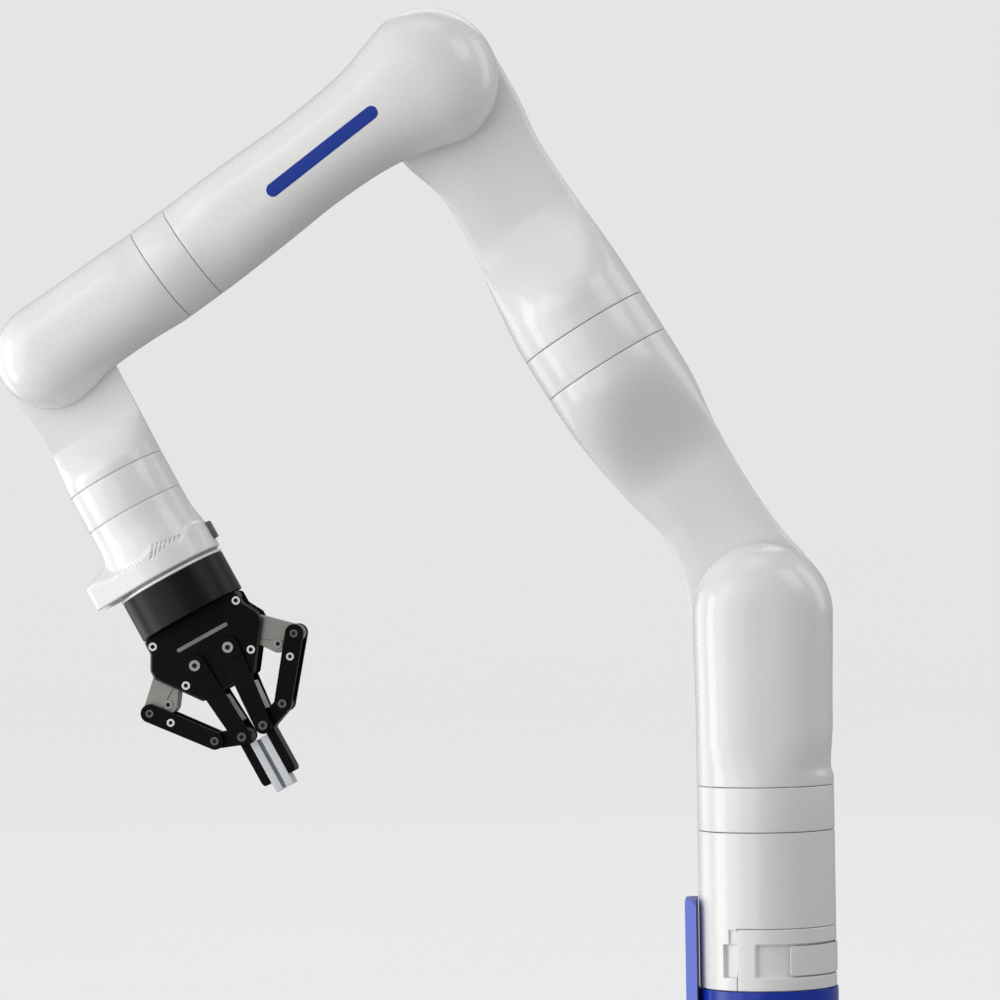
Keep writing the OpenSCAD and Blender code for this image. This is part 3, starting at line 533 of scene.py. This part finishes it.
# ---------------------------------------------------------------- tool interface
INTERFACE = WRIST_2 @ Matrix.Translation((0, 0, wrist_ring_t + WRIST_BAND))
HOOD_TOP = 48.0
HOOD_FLARE = 2.6        # growth in radius from the ring to the belt
HOOD_EDGE = 1.2         # rounding of the hood's lower edge
RIM_IN, RIM_R, RIM_LOW, RIM_TOP, RIM_EDGE = 32.2, 37.8, 50.1, 51.9, 0.4
SLEEVE_IN, SLEEVE_R, SLEEVE_LOW, SLEEVE_TOP = 32.4, 35.9, 44.0, RIM_LOW + 0.5
BELT_R = 38.7
LOBE_X, LOBE_Y, LOBE_ROUND = 54.0, 19.0, 8.0
# height of the belt's upper edge against the angle from the camera lobe, in degrees
BELT_EDGE = [(0, 22.5), (20, 23), (34, 29), (50, 31), (75, 31), (96, 28), (118, 33), (122, 33.5),
             (129, 30), (137, 26.5), (149, 25.5), (165, 27), (180, 28)]


def hull_radii(count=720):
    """Distances from the axis to the tight outline round the belt and the camera lobe."""
    turns = [2 * math.pi * k / 240 for k in range(240)]
    points = [(BELT_R * math.cos(a), BELT_R * math.sin(a)) for a in turns]
    for sign in (1, -1):
        for k in range(9):
            a = math.pi / 2 * k / 8
            points.append((LOBE_X - LOBE_ROUND * (1 - math.cos(a)),
                           sign * (LOBE_Y - LOBE_ROUND * (1 - math.sin(a)))))
    points.sort()
    chain = []
    for sweep in (points, points[::-1]):
        start = len(chain)
        for p in sweep:
            while len(chain) - start >= 2:
                (ax, ay), (bx, by) = chain[-2], chain[-1]
                if (bx - ax) * (p[1] - ay) - (by - ay) * (p[0] - ax) > 0:
                    break
                chain.pop()
            chain.append(p)
        chain.pop()
    radii = []
    for k in range(count):
        a = 2 * math.pi * (k + 0.5) / count
        c, s = math.cos(a), math.sin(a)
        best = 0.0
        for (ax, ay), (bx, by) in zip(chain, chain[1:] + chain[:1]):
            ex, ey = bx - ax, by - ay
            cross = c * ey - s * ex
            if abs(cross) > 1e-9:
                r = (ax * ey - ay * ex) / cross
                u = (ax * s - ay * c) / cross
                if -1e-6 <= u <= 1 + 1e-6:
                    best = max(best, r)
        radii.append(best)
    return radii


def fin_depth(x, t):
    """Depth of the cooling grooves in the front of the interface."""
    depth = 0.0
    for k in range(7):
        top, bottom = 27.6 + 0.5 * k, 37.2 - 0.8 * k
        u = (t - top) / (bottom - top)
        middle = -4.9 - 2.9 * k + 0.74 * (bottom - top) * (u - 0.3 * u * (1 - u))
        ends = smooth(6 * u) * smooth(6 * (1 - u))
        depth = max(depth, 1.3 * ends * smooth(1.15 - abs(x - middle) / 1.1))
    for k in range(7):
        u = (t - 32.6) / 3.6
        middle = 9.5 + 2.7 * k - 1.6 * u
        ends = smooth(4 * u) * smooth(4 * (1 - u))
        depth = max(depth, 0.5 * ends * smooth(1 - abs(x - middle) / 1.0))
    return depth


def interface_skin():
    """Hood of the tool interface with the camera lobe, the raised belt and the grooves."""
    hull = hull_radii()
    count = len(hull)
    rows = [LIP * (1 - math.cos(math.pi / 2 * k / 4)) for k in range(5)]
    rows += [LIP + (HOOD_TOP - 1.6 - LIP) * k / 110 for k in range(1, 111)]
    rows += [HOOD_TOP - HOOD_EDGE * (1 - math.sin(math.pi / 2 * k / 6)) for k in range(7)]
    rings = []
    for t in rows:
        hood = smooth((t - 10) / 26)
        low_lip = LIP - math.sqrt(max(0.0, LIP ** 2 - max(0.0, LIP - t) ** 2))
        over = max(0.0, t - (HOOD_TOP - HOOD_EDGE))
        top_lip = HOOD_EDGE - math.sqrt(max(0.0, HOOD_EDGE ** 2 - over * over))
        ring = []
        for k in range(count):
            a = 2 * math.pi * (k + 0.5) / count
            folded = abs(math.degrees(math.atan2(math.sin(a), math.cos(a))))
            base = WRIST_R + HOOD_FLARE * hood
            edge = along(BELT_EDGE, folded)
            reach = max(0.0, hull[k] - base)
            rise = smooth((t - edge) / (3.0 + 0.4 * reach))
            shoulder = 1.0 - 0.85 * smooth((folded - 158) / 20)
            r = base + (reach if folded < 60 else reach * shoulder) * rise
            r += 0.7 * hood * smooth((folded - 150) / 30)
            if math.sin(a) < 0:
                r -= fin_depth(r * math.cos(a), t)
            r -= low_lip + top_lip
            ring.append((r * math.cos(a), r * math.sin(a), t))
        rings.append(ring)
    inner = 31.9
    turns = [2 * math.pi * (k + 0.5) / count for k in range(count)]
    for height in (HOOD_TOP, 30.0):
        rings.append([(inner * math.cos(a), inner * math.sin(a), height) for a in turns])
    return loft("interface", rings, INTERFACE)


def box_mesh(low, high, place):
    corners = [(x, y, z) for x in (low[0], high[0]) for y in (low[1], high[1]) for z in (low[2], high[2])]
    faces = [(0, 1, 3, 2), (4, 6, 7, 5), (0, 4, 5, 1), (2, 3, 7, 6), (0, 2, 6, 4), (1, 5, 7, 3)]
    mesh = bpy.data.meshes.new("cutter")
    mesh.from_pydata([place @ Vector(c) for c in corners], [], faces)
    return mesh


def drill_mesh(x, z, radius, y0, y1, place, steps=48):
    """Cylinder along Y, to cut with."""
    turns = [2 * math.pi * k / steps for k in range(steps)]
    rings = [[(x + radius * math.cos(a), y, z + radius * math.sin(a)) for a in turns] for y in (y0, y1)]
    return loft("cutter", rings, place)


def cut_out(piece, cutters):
    """Takes closed meshes out of a piece, one after another."""
    for mesh in cutters:
        bm = bmesh.new()
        bm.from_mesh(mesh)
        bmesh.ops.recalc_face_normals(bm, faces=bm.faces)
        bm.to_mesh(mesh)
        bm.free()
        cutter = bpy.data.objects.new("cutter", mesh)
        scene.collection.objects.link(cutter)
        boolean = piece.modifiers.new("cut", "BOOLEAN")
        boolean.operation = "DIFFERENCE"
        boolean.solver = "EXACT"
        boolean.object = cutter
        bpy.context.view_layer.update()
        graph = bpy.context.evaluated_depsgraph_get()
        result = bpy.data.meshes.new_from_object(piece.evaluated_get(graph))
        piece.modifiers.remove(boolean)
        piece.data = result
        bpy.data.objects.remove(cutter)


hood = finish_mesh("interface_hood", interface_skin(), WHITE, "tool", "interface_shell", 38.0)
cut_out(hood, [box_mesh((31.2, -15.0, 30.0), (60.0, 15.0, 60.0), INTERFACE)])    # camera pocket
finish_mesh("interface_rim", revolve("rim", [
    (RIM_IN, RIM_LOW), (RIM_R - RIM_EDGE, RIM_LOW), (RIM_R, RIM_LOW + RIM_EDGE),
    (RIM_R, RIM_TOP - RIM_EDGE), (RIM_R - RIM_EDGE, RIM_TOP), (RIM_IN, RIM_TOP), (RIM_IN, RIM_LOW)],
    INTERFACE), WHITE, "tool", None, 50.0)
# the sleeve is mid grey, so the slot under the rim shows as a darker band
finish_mesh("interface_sleeve", revolve("sleeve", [
    (SLEEVE_IN, SLEEVE_LOW), (SLEEVE_R, SLEEVE_LOW), (SLEEVE_R, SLEEVE_TOP), (SLEEVE_IN, SLEEVE_TOP),
    (SLEEVE_IN, SLEEVE_LOW)], INTERFACE), SLEEVE_GREY, "tool", None, 50.0)


# ---------------------------------------------------------------- gripper
DULL = surface("dull_steel", grey(0.10), grey(0.17), (0.34, 0.5), 0.9, grain=1500, bump=0.08)
SATIN = surface("satin_steel", grey(0.3), grey(0.38), (0.34, 0.45), 0.8, grain=1500, bump=0.08)
BODY_BLACK = surface("body_black", (0.003, 0.0026, 0.0026), (0.0045, 0.004, 0.004), (0.3, 0.38),
                     grain=1800, bump=0.08, patch=40, specular=0.22)
# lighter, glossier black for the chamfered rims of the cover plates; the lighter colour is a painted highlight
# along the rims
RIM_HIGHLIGHT_BLACK = surface("black_rim_painted_highlight", grey(0.02), grey(0.035), (0.24, 0.34), grain=1500, bump=0.08, specular=0.5)
# near-black finish for the hollows of the pin heads: painted shade
SOCKET_SHADE = surface("socket_shadow", grey(0.006), grey(0.012), (0.5, 0.6), grain=1500, bump=0.05,
                 specular=0.2)
GRIPPER_FOOT = 63.6     # from the middle of the last ring to the foot of the gripper
GRIPPER = WRIST_2 @ Matrix.Translation((0, 0, wrist_len + GRIPPER_FOOT))
BRIGHT_HEAD, SHADED_HOLE, DULL_HEAD, SATIN_HEAD = range(4)      # material places on the pins


def plaque(x0, x1, z0, z1, y0, y1):
    """Thin printed bar with round ends on a face of the gripper."""
    radius = (z1 - z0) / 2
    outline = []
    for cx, first in ((x1 - radius, -90), (x0 + radius, 90)):
        for k in range(13):
            a = math.radians(first + 15 * k)
            outline.append((cx + radius * math.cos(a), (z0 + z1) / 2 + radius * math.sin(a)))
    return loft("plaque", [[(x, y, z) for x, z in outline] for y in (y0, y1)], GRIPPER)


def dark_sockets(piece, finish):
    """Paints shade into the hexagon socket of each pin head: its faces take a near-black finish. finish gives the
    head's finish from its place.
    """
    mesh = piece.data
    for material in (SOCKET_SHADE, DULL, SATIN):
        mesh.materials.append(material)
    for island in islands(mesh):
        indices = {v for i in island for v in mesh.polygons[i].vertices}
        spots = [mesh.vertices[v].co for v in indices]
        lows = [min(p[a] for p in spots) for a in range(3)]
        highs = [max(p[a] for p in spots) for a in range(3)]
        cx, cz = (lows[0] + highs[0]) / 2, (lows[2] + highs[2]) / 2
        radius = (highs[0] - lows[0]) / 2
        for i in island:
            polygon = mesh.polygons[i]
            at = polygon.center
            outside = at.y < lows[1] + 0.00015 or at.y > highs[1] - 0.00015
            if not outside and math.hypot(at.x - cx, at.z - cz) < 0.56 * radius:
                polygon.material_index = SHADED_HOLE
            else:
                polygon.material_index = finish(cx, cz)


def rounded(corners, radius, steps=6):
    """Outline with each corner turned into an arc."""
    outline = []
    for i, (cx, cz) in enumerate(corners):
        corner = Vector((cx, cz))
        a = (Vector(corners[i - 1]) - corner).normalized()
        b = (Vector(corners[(i + 1) % len(corners)]) - corner).normalized()
        half = a.angle(b) / 2
        centre = corner + (a + b).normalized() * radius / math.sin(half)
        start = corner + a * radius / math.tan(half) - centre
        stop = corner + b * radius / math.tan(half) - centre
        for k in range(steps):
            v = start.lerp(stop, k / (steps - 1)).normalized() * radius
            outline.append((centre.x + v.x, centre.y + v.y))
    return outline


def inset(outline, by):
    """The same outline moved inwards."""
    moved = []
    for i, p in enumerate(outline):
        before, after = Vector(outline[i - 1]), Vector(outline[(i + 1) % len(outline)])
        way = (after - before).normalized()
        moved.append((p[0] - way.y * by, p[1] + way.x * by))
    return moved


COVER_FACE = 14.8       # height of a cover's face above the gripper's middle plane
SCREW_HOLE, PIVOT_HOLE = 3.15, 2.6
COVER_SIDE = [(36, 30.2), (36, 40), (41.6, 50), (41.6, 56), (20, 85)]
COVER_OUTLINE = rounded(COVER_SIDE + [(-x, z) for x, z in COVER_SIDE[::-1]], 3.0)
COVER_SCREWS = [(s * x, z) for s in (1, -1) for x, z in ((32, 36.5), (25, 70))]
COVER_PIVOTS = [(s * 12.7, 61.4) for s in (1, -1)]
for node, side in (("gripper_cover_front", -1), ("gripper_cover_rear", 1)):
    rings = []
    for y, by in ((12.1, 0.0), (13.2, 0.0), (13.35, 0.06), (14.6, 1.15), (14.76, 1.35),
                  (COVER_FACE, 1.6)):
        rings.append([(x, side * y, z) for x, z in inset(COVER_OUTLINE, by)])
    cover = finish_mesh(node + "_plate", loft(node, rings, GRIPPER), materials["black_metal"], "tool",
                        node, 24.0)
    cutters = [drill_mesh(x, z, SCREW_HOLE, side * 13.0, side * 16.0, GRIPPER) for x, z in COVER_SCREWS]
    cutters += [drill_mesh(x, z, PIVOT_HOLE, side * 11.0, side * 16.0, GRIPPER) for x, z in COVER_PIVOTS]
    cut_out(cover, cutters)
    # the chamfer faces take the lighter black, a painted highlight along the rim
    cover.data.materials.append(RIM_HIGHLIGHT_BLACK)
    for polygon in cover.data.polygons:
        if 0.3 < abs(polygon.normal.y) < 0.97:
            polygon.material_index = 1
    cover.modifiers.new("flat_faces", "WEIGHTED_NORMAL").keep_sharp = True
finish_mesh("cover_bar", plaque(-19.5, 19.0, 45.8, 48.4, -COVER_FACE, -COVER_FACE - 0.18),
            materials["pale_print"], "tool", None, 50.0)

for node in ("gripper_body", "tool_coupling", "left_knuckle", "right_knuckle", "left_outer_finger",
             "right_outer_finger", "left_inner_knuckle", "right_inner_knuckle", "left_link_core",
             "right_link_core", "left_finger", "right_finger", "left_finger_pad", "right_finger_pad"):
    slot = "pad_silver" if node.endswith("link_core") else slot_of[node]
    eased(node, BODY_BLACK if node == "gripper_body" else materials[slot], 0.35)


def screw_finish(distance):
    """Finish of a knuckle screw from its distance to the knuckle's pivot, in metres."""
    if distance < 30 * MM:
        return SATIN_HEAD
    return DULL_HEAD if distance < 33.5 * MM else BRIGHT_HEAD


for node in ("gripper_screws", "gripper_pivots", "left_finger_pins", "right_finger_pins",
             "left_knuckle_screws", "right_knuckle_screws"):
    piece = eased(node, materials["steel"], 0.2)
    if node.endswith("knuckle_screws"):
        pivot = joint_pos(node.replace("knuckle_screws", "knuckle_pivot")) * MM
        dark_sockets(piece, lambda x, z: screw_finish(math.hypot(x - pivot.x, z - pivot.z)))
    else:
        head = {"gripper_screws": BRIGHT_HEAD, "gripper_pivots": SATIN_HEAD}.get(node, DULL_HEAD)
        dark_sockets(piece, lambda x, z: head)


# ---------------------------------------------------------------- base
def panel(name, angles, heights, r_in, radius_at):
    """Curved plate round the base: radius_at gives its skin, angles are from the front in degrees."""
    across, up = 150, 70
    rings = []
    for j in range(up + 1):
        z = heights[0] + (heights[1] - heights[0]) * spread(j / up)
        outer, inner = [], []
        for i in range(across + 1):
            a = angles[0] + (angles[1] - angles[0]) * spread(i / across)
            turn = math.radians(a - 90)
            r = radius_at(a, z)
            outer.append((r * math.cos(turn), r * math.sin(turn), z))
            inner.append((r_in * math.cos(turn), r_in * math.sin(turn), z))
        rings.append(outer + inner[::-1])
    return loft(name, rings, UP)


def edge_drop(distance, lip):
    """How far a rounded edge falls at a distance from the border."""
    d = min(max(distance, 0.0), lip)
    return lip - math.sqrt(max(0.0, lip * lip - (lip - d) ** 2))


def degrees_mm(value):
    """Length of an angle along the base casing."""
    return math.radians(value) * ARM_R


BAND_FROM, BAND_TO = -25.3, 142.0         # angles of the clamp band's ends
BAND_LOW, BAND_TOP = 37.5, 78.0
POCKET_FROM, POCKET_TO = -9.6, 101.5      # angles of the lever pocket's ends
POCKET_LOW, POCKET_TOP, POCKET_DEPTH = 46.0, 68.0, 2.5


def band_radius(a, z):
    """Skin of the clamp band, with the pocket that holds the lever."""
    border = min(degrees_mm(a - BAND_FROM), degrees_mm(BAND_TO - a), z - BAND_LOW, BAND_TOP - z)
    left = smooth(degrees_mm(a - POCKET_FROM) / 2.6)
    right = smooth(degrees_mm(POCKET_TO - a) / 0.8)
    pocket = left * right * smooth((z - POCKET_LOW) / 0.9) * smooth((POCKET_TOP - z) / 0.7)
    return ARM_R - edge_drop(border, 0.8) - POCKET_DEPTH * pocket


band_mesh = panel("band", (BAND_FROM, BAND_TO), (BAND_LOW, BAND_TOP), ARM_R - 3.3, band_radius)
finish_mesh("clamp_band_skin", band_mesh, WHITE, "base", "clamp_band", 50.0)
eased("clamp_lever", WHITE, 0.6)
# the cable guard takes the lighter blue with the painted highlight
for node, width in (("mount_socket", 0.5), ("cable_guard", 0.6), ("base_shell", 0.7),
                    ("connector_panel", 0.3), ("power_button", 0.4), ("camera_housing", 0.3),
                    ("tool_button", 0.5)):
    eased(node, materials[slot_of[node]] if node != "cable_guard" else GUARD_HIGHLIGHT_BLUE, width)


# ---------------------------------------------------------------- camera, light and floor
CAMERA_AT = Vector((73.9, -3159.3, 342.7))
CAMERA_YAW, CAMERA_PITCH, CAMERA_ROLL = 4.487, 0.366, -0.91
FOCAL = 4742.6 / 1000

camera_data = bpy.data.cameras.new("camera")
camera_data.sensor_width = 36
camera_data.lens = FOCAL * camera_data.sensor_width
camera_data.clip_start = 0.1
camera_data.clip_end = 60
camera = bpy.data.objects.new("camera", camera_data)
scene.collection.objects.link(camera)
camera.location = CAMERA_AT * MM
camera.rotation_mode = "QUATERNION"
camera.rotation_quaternion = (
    Matrix.Rotation(math.radians(CAMERA_YAW), 3, "Z")
    @ Matrix.Rotation(math.radians(90 + CAMERA_PITCH), 3, "X")
    @ Matrix.Rotation(math.radians(CAMERA_ROLL), 3, "Z")).to_quaternion()
scene.camera = camera


def softbox(name, azimuth, elevation, width, height, watts, distance=2.6):
    """Soft light aimed at the arm. Azimuth 0 stands in front of it, and 90 on its right."""
    a, e = math.radians(azimuth), math.radians(elevation)
    away = Vector((math.sin(a) * math.cos(e), -math.cos(a) * math.cos(e), math.sin(e)))
    data = bpy.data.lights.new(name, "AREA")
    data.shape = "RECTANGLE"
    data.size = width
    data.size_y = height
    data.energy = watts
    lamp = bpy.data.objects.new(name, data)
    scene.collection.objects.link(lamp)
    lamp.location = Vector((-0.25, 0, 0.4)) + away * distance
    lamp.rotation_mode = "QUATERNION"
    lamp.rotation_quaternion = away.to_track_quat("Z", "Y")


for setup in (("key_left", -80, -6, 1.2, 2.6, 34),
              ("front_left", -50, 6, 1.2, 3.4, 23),
              ("front", -20, 4, 1.2, 3.4, 12),
              ("high_right", 60, 40, 1.2, 1.2, 10),
              ("rear_right", 110, 22, 1.2, 2.2, 11),
              ("rear_left", -125, -8, 1.2, 2.2, 10),
              ("top", 0, 82, 1.4, 1.4, 7),
              ("rear_top", 180, 40, 1.4, 1.4, 6.5)):
    softbox(*setup)

world = bpy.data.worlds.new("studio")
scene.world = world
world.use_nodes = True
world.node_tree.nodes["Background"].inputs["Color"].default_value = (1, 1, 1, 1)
world.node_tree.nodes["Background"].inputs["Strength"].default_value = 0.326


def light_tent():
    """Floor disc that curves up into a round wall, lit from within so that it stays even."""
    floor_r, sweep_r, wall_top, around = 6.5, 2.0, 9.0, 96
    outline = [(0.01, 0.0), (1.0, 0.0), (floor_r, 0.0)]
    for k in range(1, 13):
        a = math.pi / 2 * k / 12
        outline.append((floor_r + sweep_r * math.sin(a), sweep_r * (1 - math.cos(a))))
    outline.append((floor_r + sweep_r, wall_top))
    mesh = revolve("floor", outline, Matrix.Translation((0, 0, -0.0005)), around)
    for polygon in mesh.polygons:
        polygon.use_smooth = True
    material, nodes, links, shader = new_material("paper")
    tint = ramp(nodes, links, noise(nodes, links, 3.0).outputs["Fac"], grey(0.10), grey(0.105))
    links.new(tint.outputs["Color"], shader.inputs["Base Color"])
    shader.inputs["Roughness"].default_value = 1.0
    shader.inputs["Specular IOR Level"].default_value = 0.0
    shader.inputs["Emission Color"].default_value = (1, 1, 1, 1)
    shader.inputs["Emission Strength"].default_value = 0.745
    mesh.materials.append(material)
    floor = bpy.data.objects.new("floor", mesh)
    scene.collection.objects.link(floor)
    floor.visible_diffuse = False
    floor.visible_glossy = False
    floor.visible_shadow = False


light_tent()

scene.view_settings.view_transform = "Standard"
scene.view_settings.look = "None"
